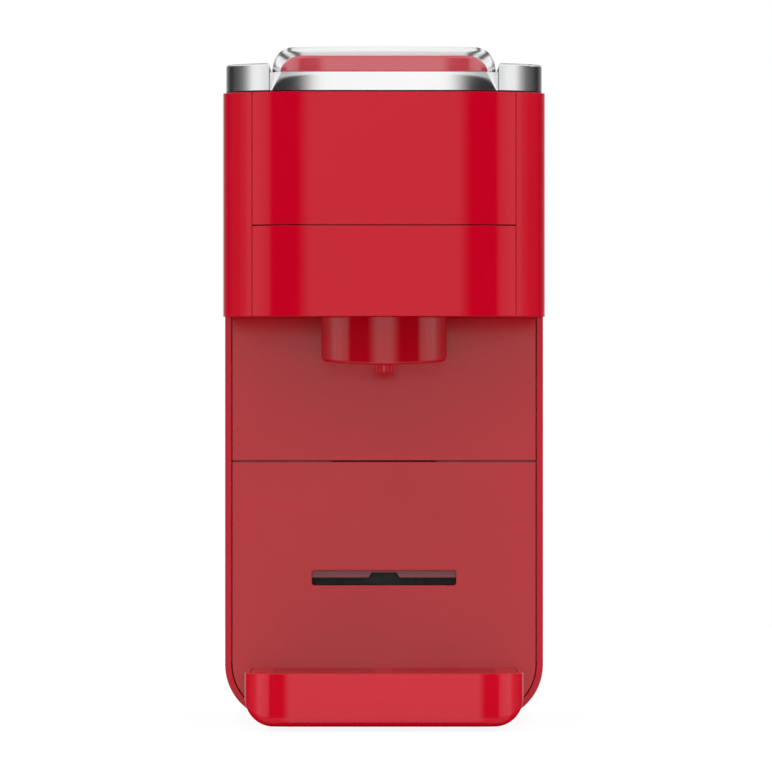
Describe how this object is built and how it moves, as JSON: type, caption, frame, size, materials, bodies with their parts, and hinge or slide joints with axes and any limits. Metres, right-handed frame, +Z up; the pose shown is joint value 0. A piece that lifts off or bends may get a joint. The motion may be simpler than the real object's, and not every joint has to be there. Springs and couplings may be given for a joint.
{
  "type": "pod coffee machine",
  "caption": "Tall narrow capsule coffee machine: overhanging head with a top lever, spout, pull-out drip tray and used-capsule drawer, lift-off rear water tank.",
  "frame": {"origin": "middle of the machine's outline, on the surface it stands on", "axes": "+Z up, the front with the spout and tray faces -Y, +X to the right seen from the front"},
  "size_m": [0.13, 0.3, 0.2767],
  "materials": {
    "red_gloss": "satin-gloss red moulding",
    "red_satin": "fine satin red moulding",
    "chrome": "bright chrome",
    "black_plastic": "fine spark-eroded black",
    "button_grey": "smooth dark grey",
    "steel": "rolled and brushed",
    "cast_aluminium": "die cast",
    "rubber": "matte",
    "board_green": "solder mask",
    "clear_plastic": "clear, slightly smoked",
    "smoke_plastic": "gloss black"
  },
  "bodies": {
    "housing": {"base_plate": "black_plastic", "rubber_feet": "rubber", "left_shell": "red_gloss", "right_shell": "red_gloss", "rear_cover": "black_plastic", "column_panel": "red_satin", "lower_front_panel": "red_gloss", "upper_front_panel": "red_gloss", "head_floor": "red_satin", "top_deck": "black_plastic", "top_cover": "chrome", "control_board": "board_green", "pivot_pins": "steel", "brew_frame": "steel", "frame_screws": "steel", "extraction_head": "black_plastic", "extraction_plate": "steel", "guide_rods": "steel", "feed_gland": "black_plastic", "boiler": "cast_aluminium", "hot_pipe": "steel", "pump_mount": "rubber", "pump": "steel", "pressure_hose": "rubber", "flow_meter": "black_plastic", "suction_hose": "rubber", "chute": "black_plastic", "outlet_duct": "black_plastic", "spout_housing": "red_gloss", "spout_tip": "red_gloss", "tank_socket": "black_plastic", "cord_gland": "black_plastic"},
    "lever": {"lever_body": "chrome", "lever_grip": "red_gloss", "lever_arms": "steel"},
    "carriage": {"brew_carriage": "cast_aluminium"},
    "drawer": {"drawer_front": "red_satin", "capsule_bin": "black_plastic"},
    "tray": {"drip_tray": "red_gloss"},
    "grid": {"drip_grid": "red_satin"},
    "tank": {"water_tank": "clear_plastic", "tank_valve": "clear_plastic", "lid_pins": "steel"},
    "lid": {"tank_lid": "smoke_plastic"},
    "button_left": {"short_button": "button_grey"},
    "button_right": {"long_button": "button_grey"},
    "rocker": {"power_rocker": "black_plastic"}
  },
  "joints": [
    {"name": "lever_hinge", "type": "hinge", "parent": "housing", "child": "lever", "pos_m": [0, 0.014, 0.22], "axis": [-1, 0, 0], "range_deg": [0, 80]},
    {"name": "carriage_slide", "type": "slide", "parent": "housing", "child": "carriage", "axis": [0, 1, 0], "range_m": [0, 0.03086]},
    {"name": "drawer_slide", "type": "slide", "parent": "housing", "child": "drawer", "axis": [0, -1, 0], "range_m": [0, 0.12]},
    {"name": "tray_slide", "type": "slide", "parent": "drawer", "child": "tray", "axis": [0, -1, 0], "range_m": [0, 0.04]},
    {"name": "grid_lift", "type": "slide", "parent": "tray", "child": "grid", "axis": [0, 0, 1], "range_m": [0, 0.04]},
    {"name": "tank_lift", "type": "slide", "parent": "housing", "child": "tank", "axis": [0, 0, 1], "range_m": [0, 0.06]},
    {"name": "lid_hinge", "type": "hinge", "parent": "tank", "child": "lid", "pos_m": [0, 0.0885, 0.2483], "axis": [1, 0, 0], "range_deg": [0, 80]},
    {"name": "short_press", "type": "slide", "parent": "housing", "child": "button_left", "axis": [0, 0, -1], "range_m": [0, 0.0012], "stiffness_N_per_m": 800},
    {"name": "long_press", "type": "slide", "parent": "housing", "child": "button_right", "axis": [0, 0, -1], "range_m": [0, 0.0012], "stiffness_N_per_m": 800},
    {"name": "rocker_tilt", "type": "hinge", "parent": "housing", "child": "rocker", "pos_m": [0.02, 0.1463, 0.012], "axis": [1, 0, 0], "range_deg": [-8, 8]}
  ],
  "couplings": [
    {"joint": "carriage_slide", "follows": "lever_hinge", "m_per_rad": 0.022097}
  ]
}
